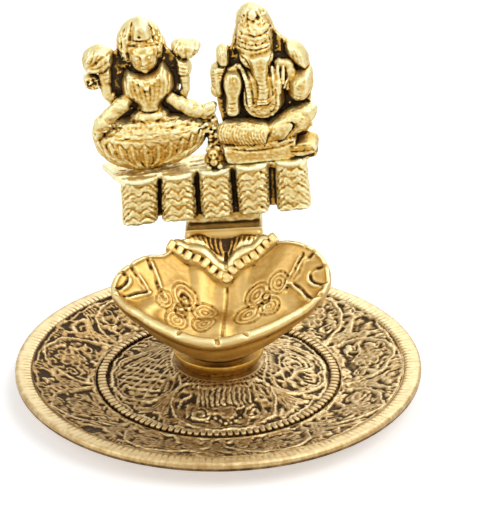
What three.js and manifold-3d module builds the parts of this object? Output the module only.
// A cast metal oil lamp: a shallow embossed dish, a foot collar, a bowl in the form of two cupped
// hands, and a throne with two seated figures that is screwed to the tab behind the wrists.
// Millimetres, +Z up, the front faces -Y, and the origin is on the table under the dish's centre.
import * as THREE from "three";
import { mergeVertices } from "three/addons/utils/BufferGeometryUtils.js";
import Module from "manifold-3d";

const wasm = await Module();
wasm.setup();

// Driving dimensions

const castingGap = 0.3; // between two castings that seat on each other in a leaning group
const shankClearance = 0.4; // around a screw in a hole that it only passes through
const threadClearance = 0.15; // around a screw in the hole that it is driven into

const dish = {
  radius: 76,
  wall: 2.4,
  rimWidth: 6.5,
  rimEdge: 3.6,
  rimSlope: 0.8,
  bandRise: 6.4, // of the outer band, from the bead ring up to the rim
  bandInnerRadius: 46.5,
  floorRadius: 41.5,
  floorHeight: 2.8, // of the ring of floor that stands on the table
  domeShoulderRadius: 27,
  domeShoulderRise: 2.6,
  hubRadius: 17.5,
  hubHeight: 9.3,
};

const relief = {
  height: 0.9, // of the raised patterns over the dish's ground
  sink: 0.5, // of a raised form into the ground
  margin: 0.6, // between the ground and the plain hub and rim, across the step
  turn: 6, // of the whole pattern, in degrees from the front
  beadRise: 1.1, // of the bead ring over the floor
  ridgeWidth: 2.2,
  leafWidth: 4.2,
};

// The dish's patterns, each in steps across and outwards from its own place on a radius
const fan = {
  count: 9,
  turn: 14,
  radius: 58,
  halfArch: [[15.4, -10.2], [14.9, -3], [11, 3.6]],
  archTop: 9.2,
  blossom: { middle: [0, -0.8], radius: 5, petals: 8, petalDepth: 0.4 },
  scroll: { across: 9.6, outwards: -3.4, radius: 2.6 },
  leaf: [[18.8, -8.6], [18.4, 0], [15.6, 7.4]],
};
const medallion = { radius: 29.2, halfWidth: 20, halfDepth: 11.2, squareness: 1.25 };
const cornerLeaf = { radius: 36, steps: [[1.4, -7], [3.6, -2], [5, 3.2]] };
const flutes = {
  count: 5,
  pitch: 3.7,
  width: 3.2,
  foot: -8.4,
  head: -1.6,
  scroll: { pitch: 9.4, outwards: 3.4, radius: 3 },
};
const paisley = {
  outline: [
    [-12.5, -2], [-7, -5.4], [1, -6.2], [8, -3.4], [10.6, 1.2], [7.6, 5.6], [1.4, 6.2], [-2.6, 2.6], [-7, -0.4],
  ],
  seed: { middle: [3.4, 0], radius: 2.6 },
  blossom: { middle: [-12, 4.6], radius: 2.6 },
};
const lotus = { petals: 5, spread: 34, foot: -5, reach: [3, 8.5, 13.5] };
const knot = { bands: 3, pitch: 8, reach: 5, width: 3 };

const collar = { footRadius: 14, waistRadius: 15, topRadius: 17, height: 5.7, mouthRadius: 13.5, mouthDepth: 1.2 };

const bowlScrew = { radius: 2.4, headRadius: 4.6, headHeight: 2.2, slotWidth: 1.1, slotDepth: 1, bite: 6 };
const figureScrew = { radius: 1.9, headRadius: 3.6, headHeight: 1.9, slotWidth: 0.9, slotDepth: 0.8, bite: 6 };
const holeTip = 1; // of a threaded hole beyond the screw's end
const washer = { thickness: 0.8, overhang: 1.6 };

const palms = {
  middle: { x: 1, y: -13 }, // the lowest point of the cupped palms, in plan
  floorHeight: 20.5,
  backHeight: 48.8, // of the rim at the back, where the wrists end
  wall: 2.4,
  lipWall: 3.4,
  lipCrown: 1.1,
  frontSteepness: 2.7,
  backSteepness: 1.37,
  stemRadius: 11,
  stemTopRadius: 9,
};

// The palms' rim, round from the front: an angle in degrees, and the reach from the palms' middle and
// the rise over the rim's back there. The left hand stands a little lower, as on the hand-made casting
const rimStations = [
  { angle: -180, reach: 40, rise: 0 },
  { angle: -158, reach: 40, rise: 0 },
  { angle: -143, reach: 36.3, rise: -2.4 },
  { angle: -132, reach: 38.1, rise: -1.3 },
  { angle: -121, reach: 40.4, rise: -2.7 },
  { angle: -114, reach: 42.6, rise: -5.2 },
  { angle: -108, reach: 42.6, rise: -8.4 },
  { angle: -100, reach: 38.3, rise: -10.8 },
  { angle: -86, reach: 29.1, rise: -13.2 },
  { angle: -63, reach: 21.4, rise: -15.5 },
  { angle: -33, reach: 16.7, rise: -17.4 },
  { angle: 0, reach: 14.7, rise: -17.8 },
  { angle: 38, reach: 16.5, rise: -16 },
  { angle: 63, reach: 19.9, rise: -14.9 },
  { angle: 84, reach: 26, rise: -13.4 },
  { angle: 101, reach: 36, rise: -11 },
  { angle: 109, reach: 43, rise: -6.8 },
  { angle: 116, reach: 44.2, rise: -1.3 },
  { angle: 124, reach: 42, rise: 2.8 },
  { angle: 135, reach: 39.1, rise: 3.6 },
  { angle: 147, reach: 38.7, rise: 1.6 },
  { angle: 160, reach: 40.8, rise: 0.8 },
  { angle: 180, reach: 40, rise: 0 },
];

// Raised bands that run in a V across the wrists, each from its left end by its vertex to its right end
const bands = [
  { radius: 2.3, left: { x: -19, y: 19 }, vertex: { x: 3, y: 13.2 }, right: { x: 20.5, y: 18.5 } },
  { radius: 1.5, left: { x: -14.5, y: 21.5 }, vertex: { x: 2.6, y: 18.4 }, right: { x: 16.8, y: 22 } },
];

const tab = { x: 1.9, y: 35, rise: 2.1, width: 29.4, depth: 16, thickness: 3.4, lean: 3.3 };
const wrist = { spread: 8.4, radius: 5.2, drop: 4.4, frontY: 6, backY: 25 };

const neck = { width: 29, depth: 9, setBack: 1.5, height: 5.4 };

const throne = {
  x: -1.9, // of its middle from the screw
  lean: 2.7, // more than the tab's own
  rise: 4.8, // of its underside above the tab, at its middle
  width: 71,
  height: 19.5,
  depth: 18,
  setBack: 0,
  panels: 5,
  panelGap: 2.6,
  panelBulge: 2.6,
  slabThickness: 2.6,
  leftFlare: 7,
  rightFlare: 4,
};

const peg = { radius: 2.4, depth: 5 }; // the tenon under each figure

// Sizes of the figures are from the middle of each one's foot: x to the right, y back, z up

const lakshmi = {
  offset: -20, // from the throne's middle
  lotus: { footRadius: 12, radius: 21, depthShare: 0.44, height: 15, petals: 17, petalLength: 15, petalWidth: 7.4 },
  lap: { height: 20.5, radius: 19.5, depth: 8.4 },
  waist: { z: 24, rx: 4.6, ry: 3.6, rz: 5 },
  chest: { x: 0.8, z: 32.5, rx: 9.2, ry: 5, rz: 6.8 },
  head: { x: 1, z: 46, rx: 5.2, ry: 4.8, rz: 7.2 },
  hair: { x: 0, z: 49.5, rx: 8.6, ry: 4.2, rz: 7.8 },
  crown: { x: 1.2, z: 53, rx: 5, ry: 4.6, rz: 5.8 },
  leftBud: { x: -15.8, z: 44.6, rx: 5.4, ry: 4.2, rz: 4.6 },
  smallBud: { x: -19.2, z: 37.4, rx: 1.9, ry: 1.9, rz: 1.9 },
  rightLotus: { x: 16.4, z: 45.6, rx: 5.2, ry: 3.6, rz: 3.2 },
  web: { thickness: 2.2, reach: 14, shoulderReach: 13, rise: 6 },
  stalk: [[-14, 0.5, 35, 1.2], [-18.8, 0, 37.2, 1.2]],
};

const lakshmiArms = [
  // raised, with the flower buds
  [[-7, 1, 35, 2.2], [-12, 1, 27, 2.3], [-13.7, 0.5, 33, 2.1], [-13.2, 0, 39.5, 1.9]],
  [[8, 1, 35, 2.2], [13.8, 1, 27, 2.3], [14.6, 0.5, 35, 2.1], [14.4, 0, 42, 2.2]],
  // lowered, one on the knee and one held out
  [[-7.5, -1, 35, 2.4], [-8, -3, 29, 2.4], [-12.5, -4.5, 24.7, 2.4], [-17.8, -5.5, 20, 2.2], [-19.4, -6, 16.8, 2]],
  [[9, -1, 35, 2.4], [9.5, -3, 27.5, 2.4], [13.8, -4, 22.8, 2.5], [18.9, -3.5, 21, 2.3], [23.4, -2, 23.4, 2]],
];

const ganesha = {
  offset: 22,
  seat: { rx: 16.5, ry: 8.2, height: 6 },
  cushion: { x: 13.6, y: -1, z: 3.3, rx: 5.4, ry: 5, rz: 3.2 },
  belly: { x: -0.3, z: 23.5, rx: 8.6, ry: 6.6, rz: 8 },
  chest: { x: 0, z: 33, rx: 9.2, ry: 4.6, rz: 6.4 },
  head: { x: -0.2, z: 40, rx: 6.4, ry: 5.6, rz: 6 },
  ears: { spread: 7.6, z: 39.8, rx: 2.6, ry: 1.8, rz: 5 },
  crown: { x: -0.4, foot: 43, radius: 7.4, shoulder: 51, shoulderRadius: 5.8, top: 59.9, tipRadius: 2.8, flat: 0.74 },
  palm: { x: -10.7, y: -4.2, z: 27.6, rx: 2.8, ry: 1.8, rz: 7.4 },
  sweet: { x: 14.7, y: -3.4, z: 27.3, rx: 4, ry: 3.4, rz: 6.3 },
  web: { thickness: 2.2, footReach: 12, reach: 16.5, height: 25, shoulderReach: 14.5, drop: 2.5, headReach: 8 },
};

const ganeshaLimbs = [
  // trunk
  [[0.9, -4, 41.2, 3.8], [1.1, -6.5, 36, 3.3], [1.4, -7.8, 30.5, 2.8], [0.8, -8.2, 25.6, 2.4], [3.4, -7.8, 24.2, 2]],
  // raised arms
  [[-7.5, 1, 35, 2.4], [-15.5, 1, 30.5, 2.4], [-15.2, 0.5, 35.5, 2.1], [-12.6, 0, 42.4, 1.9]],
  [[8, 1, 35, 2.4], [17, 1, 31.5, 2.4], [15.6, 0.5, 37, 2.2], [12.2, 0, 42.4, 2.2]],
  // lowered arms
  [[-8, -1, 34, 2.4], [-15, -1.5, 26, 2.4], [-11.4, -4, 21.8, 2.1]],
  [[8.4, -1, 34, 2.4], [16.8, -1.5, 26.5, 2.4], [13.4, -4, 22.4, 2.1]],
  // folded legs
  [[-12.8, -3.5, 12.6, 4.7], [-7, -5, 11.4, 4.6], [0, -5.2, 9.6, 3.6]],
  [[-1, -4.6, 9.4, 3.2], [7, -5, 11.2, 4.2], [16, -3.6, 16, 3.8]],
];

const mouse = { x: 2, length: 8.4, width: 6, height: 7.2, ear: { rx: 1, ry: 0.8, rz: 1.1 } };

// How finely round shapes are faceted

const facets = {
  dish: 60,
  medallion: 20,
  arch: 8,
  leaf: 3,
  dot: 6,
  palms: 54,
  collar: 30,
  screw: 16,
  limb: 7,
  ball: 10,
  seat: 20,
  petal: 7,
};

const gold = new THREE.MeshStandardMaterial({ color: 0xd9a441, roughness: 0.38, metalness: 1 });
const steel = new THREE.MeshStandardMaterial({ color: 0xb8b9bb, roughness: 0.35, metalness: 1 });

// Helpers

const at = (x, y, z) => new THREE.Vector3(x, y, z);
const radians = THREE.MathUtils.degToRad;
const lerp = THREE.MathUtils.lerp;
const up = at(0, 0, 1);

function solid(geometry) {
  const bare = geometry.clone();
  bare.deleteAttribute("normal");
  bare.deleteAttribute("uv");
  const merged = mergeVertices(bare, 1e-4);
  const corners = merged.index.array;
  const kept = [];
  for (let i = 0; i < corners.length; i += 3) {
    const [a, b, c] = [corners[i], corners[i + 1], corners[i + 2]];
    if (a !== b && b !== c && c !== a) kept.push(a, b, c);
  }
  const vertProperties = merged.attributes.position.array;
  return new wasm.Manifold(new wasm.Mesh({ numProp: 3, vertProperties, triVerts: new Uint32Array(kept) }));
}

function joined(...geometries) {
  return wasm.Manifold.union(geometries.flat(Infinity).map(solid));
}

// A casting without the small voids that its overlapping forms would close in
function cast(made) {
  return made.decompose().reduce((largest, shell) => (shell.volume() > largest.volume() ? shell : largest));
}

function node(name, made, material) {
  const { vertProperties, triVerts } = made.getMesh();
  const geometry = new THREE.BufferGeometry();
  geometry.setAttribute("position", new THREE.BufferAttribute(vertProperties, 3));
  geometry.setIndex(new THREE.BufferAttribute(triVerts, 1));
  geometry.computeVertexNormals();
  const piece = new THREE.Mesh(geometry, material);
  piece.name = name;
  return piece;
}

// A solid turned about Z from [radius, height] pairs that run up its outside
function turned(profile, sides) {
  const points = profile.map(([radius, height]) => new THREE.Vector2(radius, height));
  return new THREE.LatheGeometry(points, sides).rotateX(Math.PI / 2);
}

function cylinder(radius, bottom, top, sides = facets.screw) {
  return turned([[0, bottom], [radius, bottom], [radius, top], [0, top]], sides);
}

function box(width, depth, height, x, y, bottom) {
  return new THREE.BoxGeometry(width, depth, height).translate(x, y, bottom + height / 2);
}

// An ellipsoid of half sizes rx, ry and rz round a point
function ball({ x = 0, y = 0, z = 0, rx, ry, rz }, sides = facets.ball) {
  return new THREE.SphereGeometry(1, sides, Math.ceil(sides / 2))
    .rotateX(Math.PI / 2)
    .scale(rx, ry, rz)
    .translate(x, y, z);
}

// A tapered link with round ends between two points
function link(from, to, fromRadius, toRadius) {
  const along = to.clone().sub(from);
  const quarter = [0, 45, 90].map(radians);
  const start = quarter.map((a) => [fromRadius * Math.sin(a), -fromRadius * Math.cos(a)]);
  const end = quarter.map((a) => [toRadius * Math.cos(a), along.length() + toRadius * Math.sin(a)]);
  return turned([...start, ...end], facets.limb)
    .applyQuaternion(new THREE.Quaternion().setFromUnitVectors(up, along.normalize()))
    .translate(from.x, from.y, from.z);
}

// A limb through [x, y, z, radius] joints
function limb(joints) {
  return joints.slice(1).map(([x, y, z, radius], i) => {
    const [fromX, fromY, fromZ, fromRadius] = joints[i];
    return link(at(fromX, fromY, fromZ), at(x, y, z), fromRadius, radius);
  });
}

// The same outline points on the other side, in the order that closes the outline
const mirrored = (half) => half.map(([x, z]) => [-x, z]).reverse();

// An upright plate that backs a figure, from a closed outline of [x, z] pairs through a smooth curve
function backing(outline, thickness) {
  const curve = new THREE.SplineCurve([...outline, outline[0]].map(([x, z]) => new THREE.Vector2(x, z)));
  const shape = new THREE.Shape(curve.getPoints(outline.length * 3).slice(0, -1));
  return new THREE.ExtrudeGeometry(shape, { depth: thickness, bevelEnabled: false })
    .rotateX(Math.PI / 2)
    .translate(0, thickness * 1.4, 0);
}

// Heights that several pieces share

const hubUnder = dish.hubHeight - dish.wall;
const bowlSeat = dish.hubHeight + collar.height;
const tabHeight = palms.backHeight + tab.rise;
const tabUnder = -tab.thickness - castingGap;

// Dish: rim, sloping band, the ring that stands on the table, and the dome under the foot

const rimInner = dish.radius - dish.rimWidth;
const bandTop = dish.floorHeight + dish.bandRise;

// The tops of the raised patterns, from the middle outwards, as [radius, height]
const dishFace = [
  [0, dish.hubHeight],
  [dish.hubRadius, dish.hubHeight],
  [dish.domeShoulderRadius, dish.floorHeight + dish.domeShoulderRise],
  [dish.floorRadius, dish.floorHeight],
  [lerp(dish.floorRadius, dish.bandInnerRadius, 0.5), dish.floorHeight],
  [dish.bandInnerRadius, dish.floorHeight],
  [lerp(dish.bandInnerRadius, rimInner, 0.5), dish.floorHeight + dish.bandRise * 0.42],
  [rimInner, bandTop],
];

function faceHeight(radius) {
  const i = dishFace.findIndex(([edge]) => edge > radius);
  const [[fromRadius, from], [toRadius, to]] = dishFace.slice(i - 1, i + 1);
  return lerp(from, to, (radius - fromRadius) / (toRadius - fromRadius));
}

// Plan points on the dish, from steps across and outwards from a place on a radius
function onDish({ angle, radius }, steps) {
  return steps.map(([across, outwards]) => {
    const turn = radians(angle + relief.turn) + across / (radius + outwards);
    return new THREE.Vector2(Math.sin(turn), -Math.cos(turn)).multiplyScalar(radius + outwards);
  });
}

function closedMesh(corners, triangles) {
  const geometry = new THREE.BufferGeometry();
  geometry.setAttribute("position", new THREE.Float32BufferAttribute(corners.flat(), 3));
  geometry.setIndex(triangles.flat());
  return geometry;
}

// A raised line along plan points, with a crest, that runs out at both ends where it is pointed
function ridge(path, width, { pointed = false, closed = false } = {}) {
  const count = path.length;
  const corners = path.flatMap((point, i) => {
    const before = path[closed ? (i + count - 1) % count : Math.max(i - 1, 0)];
    const after = path[closed ? (i + 1) % count : Math.min(i + 1, count - 1)];
    const along = after.clone().sub(before).normalize();
    const share = pointed ? Math.sin((Math.PI * (i + 0.3)) / (count - 0.4)) : 1;
    return [-1, 0, 1].map((side) => {
      const x = point.x + (along.y * side * share * width) / 2;
      const y = point.y - (along.x * side * share * width) / 2;
      const drop = Math.abs(side) * (relief.height + relief.sink);
      return [x, y, faceHeight(Math.hypot(x, y)) - drop];
    });
  });
  const last = count - (closed ? 0 : 1);
  const sides = Array.from({ length: last * 3 }, (_, i) => {
    const near = Math.floor(i / 3) * 3;
    const far = (near + 3) % (count * 3);
    const [k, next] = [i % 3, (i + 1) % 3];
    return [near + k, near + next, far + next, near + k, far + next, far + k];
  });
  const end = count * 3 - 3;
  const caps = closed ? [] : [[0, 2, 1], [end, end + 1, end + 2]];
  return closedMesh(corners, [...sides, ...caps]);
}

// A raised boss with a peak over its middle, from an outline of plan points that runs clockwise
function boss(middle, outline) {
  const lowest = (point) => faceHeight(point.length()) - relief.height - relief.sink;
  const outer = outline.slice().reverse();
  const count = outer.length;
  const corners = [
    ...outer.map((point) => [point.x, point.y, lowest(point)]),
    ...outer.map((point) => [point.x, point.y, faceHeight(point.length()) - relief.height / 2]),
    [middle.x, middle.y, lowest(middle)],
    [middle.x, middle.y, faceHeight(middle.length())],
  ];
  const [bottom, peak] = [count * 2, count * 2 + 1];
  const triangles = outer.map((_, i) => {
    const next = (i + 1) % count;
    return [i, next, count + next, i, count + next, count + i, peak, count + i, count + next, bottom, next, i];
  });
  return closedMesh(corners, triangles);
}

// A round boss, or a blossom where every other corner of its outline is drawn in
function roundBoss(station, middle, radius, { petals = facets.dot / 2, petalDepth = 0 } = {}) {
  const outline = Array.from({ length: petals * 2 }, (_, i) => {
    const turn = (i / petals) * Math.PI;
    const reach = radius * (i % 2 ? 1 - petalDepth : 1);
    return [middle[0] + reach * Math.cos(turn), middle[1] + reach * Math.sin(turn)];
  });
  return boss(onDish(station, [middle])[0], onDish(station, outline));
}

// The same steps to one side or the other
const towards = (side, steps) => steps.map(([across, outwards]) => [side * across, outwards]);

// Steps along a smooth line through a few of them
function smooth(steps, count) {
  const line = new THREE.SplineCurve(steps.map(([across, outwards]) => new THREE.Vector2(across, outwards)));
  return line.getPoints(count).map(({ x, y }) => [x, y]);
}

function leaf(station, steps, width = relief.leafWidth) {
  return ridge(onDish(station, smooth(steps, facets.leaf)), width, { pointed: true });
}

// The arched panels of the outer band: in each a blossom between two scrolls, and a leaf on each side
function fanReliefs() {
  const { blossom, scroll } = fan;
  const arch = [...fan.halfArch, [0, fan.archTop], ...mirrored(fan.halfArch)];
  return Array.from({ length: fan.count }, (_, i) => {
    const station = { angle: (360 * i) / fan.count + fan.turn, radius: fan.radius };
    return [
      ridge(onDish(station, smooth(arch, facets.arch)), relief.ridgeWidth),
      roundBoss(station, blossom.middle, blossom.radius, blossom),
      ...[-1, 1].map((side) => [
        roundBoss(station, [side * scroll.across, scroll.outwards], scroll.radius),
        leaf(station, towards(side, fan.leaf)),
      ]),
    ];
  });
}

// The four lobed medallions of the dome, each with a filling of its own, and the leaves between them
function medallionReliefs() {
  const { radius, halfWidth, halfDepth, squareness } = medallion;
  const squared = (value) => Math.sign(value) * Math.abs(value) ** (1 / squareness);
  const rim = Array.from({ length: facets.medallion }, (_, i) => {
    const turn = (i / facets.medallion) * 2 * Math.PI;
    return [halfWidth * squared(Math.cos(turn)), halfDepth * squared(Math.sin(turn))];
  });
  return [flutedFilling, paisleyFilling, lotusFilling, knotFilling].map((filling, i) => {
    const station = { angle: 90 * i, radius };
    const corner = { angle: 90 * i + 45, radius: cornerLeaf.radius };
    return [
      ridge(onDish(station, rim), relief.ridgeWidth, { closed: true }),
      filling(station),
      ...[-1, 1].map((side) => leaf(corner, towards(side, cornerLeaf.steps))),
    ];
  });
}

// Whole numbers from minus to plus half of a count, in the middle of which is zero
const spread = (count) => Array.from({ length: count }, (_, i) => i - (count - 1) / 2);

function flutedFilling(station) {
  const { foot, head, scroll } = flutes;
  return [
    ...spread(flutes.count).map((i) => {
      const across = i * flutes.pitch;
      return leaf(station, [[across, foot], [across, lerp(foot, head, 0.5)], [across, head]], flutes.width);
    }),
    ...[-1, 0, 1].map((side) => roundBoss(station, [side * scroll.pitch, scroll.outwards], scroll.radius)),
  ];
}

function paisleyFilling(station) {
  const { outline, seed, blossom } = paisley;
  return [
    ridge(onDish(station, outline), relief.ridgeWidth, { closed: true }),
    roundBoss(station, seed.middle, seed.radius),
    roundBoss(station, blossom.middle, blossom.radius),
  ];
}

function lotusFilling(station) {
  return spread(lotus.petals).map((i) => {
    const turn = radians(i * lotus.spread);
    const steps = lotus.reach.map((reach) => [reach * Math.sin(turn), lotus.foot + reach * Math.cos(turn)]);
    return leaf(station, steps);
  });
}

function knotFilling(station) {
  const { pitch, reach, width } = knot;
  return [-1, 1].flatMap((side) =>
    spread(knot.bands).map((i) => {
      const steps = [-reach, 0, reach].map((step) => [i * pitch + side * step, step]);
      return leaf(station, steps, width);
    }),
  );
}

function dishSolid() {
  const { radius, wall, rimEdge, rimSlope, floorHeight, hubRadius, hubHeight } = dish;
  const rimTop = bandTop + rimSlope;
  const [middle, hub, shoulder, floor, bead, bandFoot, bandMiddle] = dishFace;
  const ground = (groundRadius) => [groundRadius, faceHeight(groundRadius) - relief.height];
  const face = [
    [radius, rimTop],
    [rimInner, bandTop],
    ground(rimInner - relief.margin),
    ground(bandMiddle[0]),
    ground(bandFoot[0] + relief.margin),
    bandFoot,
    [bead[0], floorHeight + relief.beadRise],
    floor,
    ground(floor[0] - relief.margin),
    ground(shoulder[0]),
    ground(hubRadius + relief.margin),
    hub,
    middle,
  ];
  const under = [
    [0, hubUnder],
    [hubRadius - wall * 0.6, hubUnder],
    [shoulder[0], shoulder[1] - wall],
    [dish.floorRadius, 0],
    [dish.bandInnerRadius, 0],
    [bandMiddle[0], bandMiddle[1] - wall],
    [rimInner, bandTop - wall],
    [radius, rimTop - rimEdge],
  ];
  const bore = cylinder(bowlScrew.radius + shankClearance, 0, bowlSeat);
  const plate = joined(turned([...under, ...face], facets.dish), fanReliefs(), medallionReliefs());
  return plate.subtract(solid(bore));
}

function collarSolid() {
  const { footRadius, waistRadius, topRadius, height, mouthRadius, mouthDepth } = collar;
  const foot = dish.hubHeight;
  const profile = [
    [0, foot],
    [footRadius, foot],
    [waistRadius, foot + height * 0.45],
    [topRadius, foot + height * 0.8],
    [topRadius, foot + height],
    [mouthRadius, foot + height],
    [mouthRadius - mouthDepth, foot + height - mouthDepth],
    [0, foot + height - mouthDepth],
  ];
  const bore = cylinder(bowlScrew.radius + shankClearance, 0, 2 * bowlSeat);
  return solid(turned(profile, facets.collar)).subtract(solid(bore));
}

// A slotted screw on Z, from the underside of its head's seat up to its tip
function screwSolid({ radius, headRadius, headHeight, slotWidth, slotDepth }, seat, tip) {
  const headBottom = seat - headHeight;
  const profile = [
    [0, headBottom],
    [headRadius * 0.7, headBottom],
    [headRadius, headBottom + headHeight * 0.45],
    [headRadius, seat],
    [radius, seat],
    [radius, tip - radius / 2],
    [radius / 2, tip],
    [0, tip],
  ];
  const slot = box(3 * headRadius, slotWidth, 2 * slotDepth, 0, 0, headBottom - slotDepth);
  return solid(turned(profile, facets.screw)).subtract(solid(slot));
}

function washerSolid(screw, top) {
  const disc = cylinder(screw.headRadius + washer.overhang, top - washer.thickness, top);
  const hole = cylinder(screw.radius + shankClearance, top - 2 * washer.thickness, top + washer.thickness);
  return solid(disc).subtract(solid(hole));
}

// The cupped palms: reach and height of the rim by a smooth curve through the stations

function rimAt(angle) {
  const last = rimStations.length - 1;
  const i = THREE.MathUtils.clamp(rimStations.findLastIndex((s) => s.angle <= angle), 0, last - 1);
  const wrapped = (k) => rimStations[(k + last) % last];
  const [p, q, r, s] = [wrapped(i - 1), rimStations[i], rimStations[i + 1], wrapped(i + 2)];
  const t = (angle - q.angle) / (r.angle - q.angle);
  const bend = (a, b, c, d) => {
    const [slopeIn, slopeOut] = [(c - a) / 2, (d - b) / 2];
    const [square, cube] = [t * t, t * t * t];
    const ends = (2 * cube - 3 * square + 1) * b + (3 * square - 2 * cube) * c;
    return ends + (cube - 2 * square + t) * slopeIn + (cube - square) * slopeOut;
  };
  const height = palms.backHeight + bend(p.rise, q.rise, r.rise, s.rise);
  return { reach: bend(p.reach, q.reach, r.reach, s.reach), height };
}

// A point on the palms' upper surface, at an angle from the front and a share of the way to the rim
function palmPoint(angle, share) {
  const { reach, height } = rimAt(angle);
  const front = Math.max(0, Math.cos(radians(angle)));
  const steepness = lerp(palms.backSteepness, palms.frontSteepness, Math.sqrt(front));
  const out = reach * share;
  return at(
    palms.middle.x + out * Math.sin(radians(angle)),
    palms.middle.y - out * Math.cos(radians(angle)),
    palms.floorHeight + (height - palms.floorHeight) * share ** steepness,
  );
}

function palmNormal(angle, share) {
  const [turn, step] = [1.5, 0.02];
  const wrap = (a) => ((a + 540) % 360) - 180;
  const across = palmPoint(wrap(angle + turn), share).sub(palmPoint(wrap(angle - turn), share));
  const outward = palmPoint(angle, share + step).sub(palmPoint(angle, share - step));
  return outward.cross(across).normalize();
}

// The palms' surface point above a place in plan, for what is laid on the surface
function onPalms({ x, y }) {
  const [dx, dy] = [x - palms.middle.x, y - palms.middle.y];
  const angle = THREE.MathUtils.radToDeg(Math.atan2(dx, -dy));
  return palmPoint(angle, Math.hypot(dx, dy) / rimAt(angle).reach);
}

// A turned disc whose rings are laid on the palms: each ring has a share and a depth under the surface
function laidOnPalms(rings) {
  const geometry = turned(rings.map(({ share }, i) => [share, i]), facets.palms);
  const place = geometry.attributes.position;
  for (let i = 0; i < place.count; i += 1) {
    const ring = rings[Math.round(place.getZ(i))];
    const angle = THREE.MathUtils.radToDeg(Math.atan2(place.getX(i), -place.getY(i)));
    const reached = Math.max(ring.share, 0.03);
    const point = palmPoint(angle, ring.share);
    const normal = ring.share < 0.05 ? up.clone() : palmNormal(angle, reached);
    if (ring.bottom === undefined) point.addScaledVector(normal, -ring.depth);
    else point.z = ring.bottom;
    point.addScaledVector(at(normal.x, normal.y, 0).normalize(), -(ring.out ?? 0));
    place.setXYZ(i, point.x, point.y, point.z);
  }
  return geometry;
}

function palmShell() {
  const { wall, lipWall, lipCrown } = palms;
  const shares = [0, 0.25, 0.5, 0.72, 0.88, 1];
  const wallAt = (share) => lerp(wall, lipWall, THREE.MathUtils.smoothstep(share, 0.7, 1));
  const under = shares.map((share) => ({ share, depth: wallAt(share) }));
  const lip = { share: 1, depth: lipWall / 2, out: lipCrown };
  const face = shares.map((share) => ({ share, depth: 0 })).reverse();
  return laidOnPalms([...under, lip, ...face]);
}

// Everything between the palms' surface and the table, which the stem is trimmed to
function underPalms() {
  const face = [1, 0.75, 0.5, 0.25, 0].map((share) => ({ share, depth: palms.wall / 2 }));
  return laidOnPalms([{ share: 0, bottom: 0 }, { share: 1, bottom: 0 }, ...face]);
}

function bandRidge({ radius, left, vertex, right }) {
  const lay = ([from, to]) => {
    const [a, b, c] = [0, 0.5, 1].map((t) => onPalms({ x: lerp(from.x, to.x, t), y: lerp(from.y, to.y, t) }));
    return [link(a, b, radius, radius), link(b, c, radius, radius)];
  };
  return [lay([left, vertex]), lay([vertex, right])];
}

function wrists() {
  return [-1, 1].map((side) => {
    const low = onPalms({ x: palms.middle.x + side * wrist.spread, y: wrist.frontY });
    const high = onPalms({ x: palms.middle.x + side * wrist.spread, y: wrist.backY });
    low.z -= wrist.drop + palms.wall;
    high.z -= wrist.drop;
    return link(low, high, wrist.radius, wrist.radius);
  });
}

function handsSolid() {
  const stem = turned(
    [[0, bowlSeat - collar.mouthDepth], [palms.stemRadius, bowlSeat - collar.mouthDepth],
      [palms.stemTopRadius, palms.floorHeight], [palms.stemTopRadius, tabHeight], [0, tabHeight]],
    facets.collar,
  );
  const plate = box(tab.width, tab.depth, tab.thickness, 0, 0, -tab.thickness)
    .rotateY(-radians(tab.lean))
    .translate(tab.x, tab.y, tabHeight);
  const bore = cylinder(bowlScrew.radius + threadClearance, 0, bowlSeat + bowlScrew.bite + holeTip);
  const tabBore = cylinder(figureScrew.radius + shankClearance, -2 * tab.thickness, tab.thickness)
    .translate(0, neck.setBack, 0)
    .rotateY(-radians(tab.lean))
    .translate(tab.x, tab.y, tabHeight);
  const aboveTab = box(2 * tab.width, 2 * tab.depth, tabHeight, 0, tab.depth / 2, -castingGap)
    .rotateY(-radians(tab.lean))
    .translate(tab.x, tab.y, tabHeight);
  return solid(stem)
    .intersect(solid(underPalms()))
    .add(joined(palmShell(), bands.map(bandRidge), wrists()))
    .subtract(solid(aboveTab))
    .add(solid(plate))
    .subtract(solid(bore))
    .subtract(solid(tabBore));
}

// Throne: the neck on the tab, the row of bulging panels and the flared slab that the figures sit on

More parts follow.
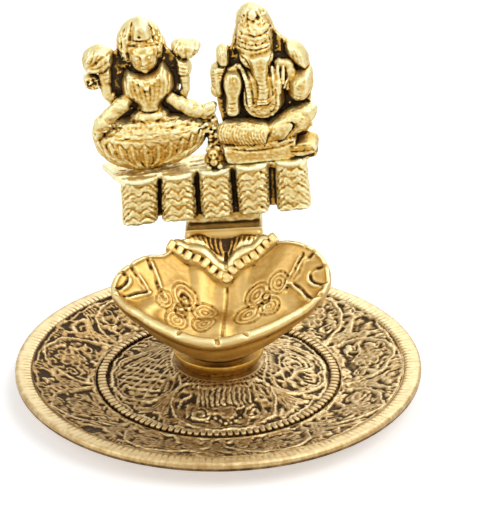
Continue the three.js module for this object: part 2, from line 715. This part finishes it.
function throneSolid() {
  const { width, height, depth, panels, panelGap, panelBulge, slabThickness } = throne;
  const front = -depth / 2;
  const pitch = width / panels;
  const panelHeight = height - slabThickness / 2;
  const core = box(width - panelGap, depth - 2 * panelBulge, height - slabThickness / 2, 0, panelBulge, 0);
  const panelShape = new THREE.Shape()
    .absellipse(0, 0, (pitch - panelGap) / 2, 2 * panelBulge, 0, Math.PI * 2);
  const row = Array.from({ length: panels }, (_, i) =>
    new THREE.ExtrudeGeometry(panelShape, { depth: panelHeight, bevelEnabled: false, curveSegments: 6 })
      .translate((i - (panels - 1) / 2) * pitch, front + 2 * panelBulge, 0));
  const slabShape = new THREE.Shape([
    new THREE.Vector2(-width / 2, front + panelBulge / 2),
    new THREE.Vector2(width / 2, front + panelBulge / 2),
    new THREE.Vector2(width / 2 + throne.rightFlare, depth / 2),
    new THREE.Vector2(-width / 2 - throne.leftFlare, depth / 2),
  ]);
  const slab = new THREE.ExtrudeGeometry(slabShape, { depth: slabThickness, bevelEnabled: false })
    .translate(0, 0, height - slabThickness);
  const sockets = [lakshmi, ganesha].map(({ offset }) =>
    cylinder(peg.radius + castingGap, height - peg.depth - castingGap, height + 1).translate(offset, 0, 0));
  const leaning = joined(core, row, slab)
    .subtract(joined(sockets))
    .rotate(0, -throne.lean, 0)
    .translate(throne.x, throne.setBack, throne.rise);
  const foot = box(neck.width, neck.depth, neck.height, 0, neck.setBack, castingGap);
  const thread = cylinder(figureScrew.radius + threadClearance, -1, figureScrew.bite + holeTip)
    .translate(0, neck.setBack, 0);
  return leaning.add(solid(foot)).subtract(solid(thread));
}

function tenon() {
  return cylinder(peg.radius, -peg.depth, 2, 14);
}

// Lakshmi on her lotus, and Ganesha on his seat

function lotusSeat({ footRadius, radius, depthShare, height, petals, petalLength, petalWidth }) {
  const cup = turned([[0, 0], [footRadius, 0], [radius * 0.8, height * 0.3], [radius * 0.9, height * 0.75],
    [radius * 0.84, height], [0, height]], facets.seat);
  const ring = Array.from({ length: petals }, (_, i) =>
    ball({ rx: petalWidth / 2, ry: 1.5, rz: petalLength / 2 }, facets.petal)
      .rotateX(radians(33))
      .translate(0, -radius * 0.8, height * 0.5)
      .rotateZ((2 * Math.PI * i) / petals));
  return [cup, ...ring].map((geometry) => geometry.scale(1, depthShare, 1));
}

function lakshmiSolid() {
  const { lotus, lap, hair, web } = lakshmi;
  const knees = ball({ z: lotus.height, rx: lap.radius, ry: lap.depth, rz: lap.height - lotus.height });
  const body = ["waist", "chest", "head", "hair", "crown", "leftBud", "smallBud", "rightLotus"];
  const shoulder = lakshmi.chest.z + lakshmi.chest.rz;
  const half = [[lap.radius * 0.6, lotus.height], [web.reach, lap.height + web.rise], [web.shoulderReach, shoulder],
    [hair.rx, hair.z]];
  const back = backing([...half, [0, hair.z + hair.rz / 2], ...mirrored(half)], web.thickness);
  const forms = body.map((name) => ball(lakshmi[name]));
  return cast(joined(lotusSeat(lotus), knees, forms, lakshmiArms.map(limb), limb(lakshmi.stalk), back, tenon()));
}

function ganeshaSolid() {
  const { seat, crown, ears, web } = ganesha;
  const base = turned([[0, 0], [seat.rx, 0], [seat.rx * 0.96, seat.height], [0, seat.height]], facets.seat)
    .scale(1, seat.ry / seat.rx, 1);
  const cone = turned([[0, crown.foot], [crown.radius, crown.foot], [crown.shoulderRadius, crown.shoulder],
    [crown.tipRadius, crown.top - crown.tipRadius], [0, crown.top]], 16)
    .scale(1, crown.flat, 1)
    .translate(crown.x, 0, 0);
  const pair = [-1, 1].map((side) => ball({ ...ears, x: side * ears.spread }));
  const body = ["cushion", "belly", "chest", "head", "palm", "sweet"];
  const shoulder = ganesha.chest.z + ganesha.chest.rz;
  const half = [[web.footReach, seat.height], [web.reach, web.height], [web.shoulderReach, shoulder - web.drop],
    [web.headReach, crown.foot]];
  const back = backing([...half, [0, crown.shoulder], ...mirrored(half)], web.thickness);
  const forms = body.map((name) => ball(ganesha[name]));
  return cast(joined(base, cone, pair, forms, ganeshaLimbs.map(limb), back, tenon()));
}

// The small mouse that stands on the throne's front edge
function mouseSolid() {
  const { length, width, height, ear } = mouse;
  return joined(
    ball({ z: height * 0.36, rx: width / 2, ry: length / 2, rz: height * 0.36 }),
    ball({ y: -length * 0.3, z: height * 0.66, rx: width * 0.3, ry: length * 0.22, rz: height * 0.28 }),
    [-1, 1].map((side) => ball({ ...ear, x: side * width * 0.24, y: -length * 0.2, z: height * 0.87 })),
  );
}

// Assembly

function assemble() {
  const lamp = new THREE.Group();
  lamp.add(node("base_plate", dishSolid(), gold));
  lamp.add(node("foot_collar", collarSolid(), gold));
  lamp.add(node("bowl_washer", washerSolid(bowlScrew, hubUnder), steel));
  lamp.add(node("bowl_screw", screwSolid(bowlScrew, hubUnder - washer.thickness, bowlSeat + bowlScrew.bite), steel));
  lamp.add(node("hands_bowl", handsSolid(), gold));

  const fixing = new THREE.Group();
  fixing.position.set(tab.x, tab.y, tabHeight);
  fixing.rotation.y = -radians(tab.lean);
  lamp.add(fixing);

  const ring = node("figure_washer", washerSolid(figureScrew, tabUnder), steel);
  const boltSeat = tabUnder - washer.thickness - castingGap;
  const bolt = node("figure_screw", screwSolid(figureScrew, boltSeat, figureScrew.bite), steel);
  [ring, bolt].forEach((piece) => {
    piece.position.y = neck.setBack;
    fixing.add(piece);
  });
  fixing.add(node("throne", throneSolid(), gold));

  const group = new THREE.Group();
  group.position.set(throne.x, throne.setBack, throne.rise);
  group.rotation.y = -radians(throne.lean);
  fixing.add(group);
  const goddess = node("lakshmi", lakshmiSolid(), gold);
  const god = node("ganesha", ganeshaSolid(), gold);
  goddess.position.set(lakshmi.offset, 0, throne.height + castingGap);
  god.position.set(ganesha.offset, 0, throne.height + castingGap);
  group.add(goddess, god);
  const rodent = node("mouse", mouseSolid(), gold);
  rodent.position.set(mouse.x, -throne.depth / 2 + mouse.length / 2, throne.height + castingGap);
  group.add(rodent);
  return lamp;
}

export default assemble();
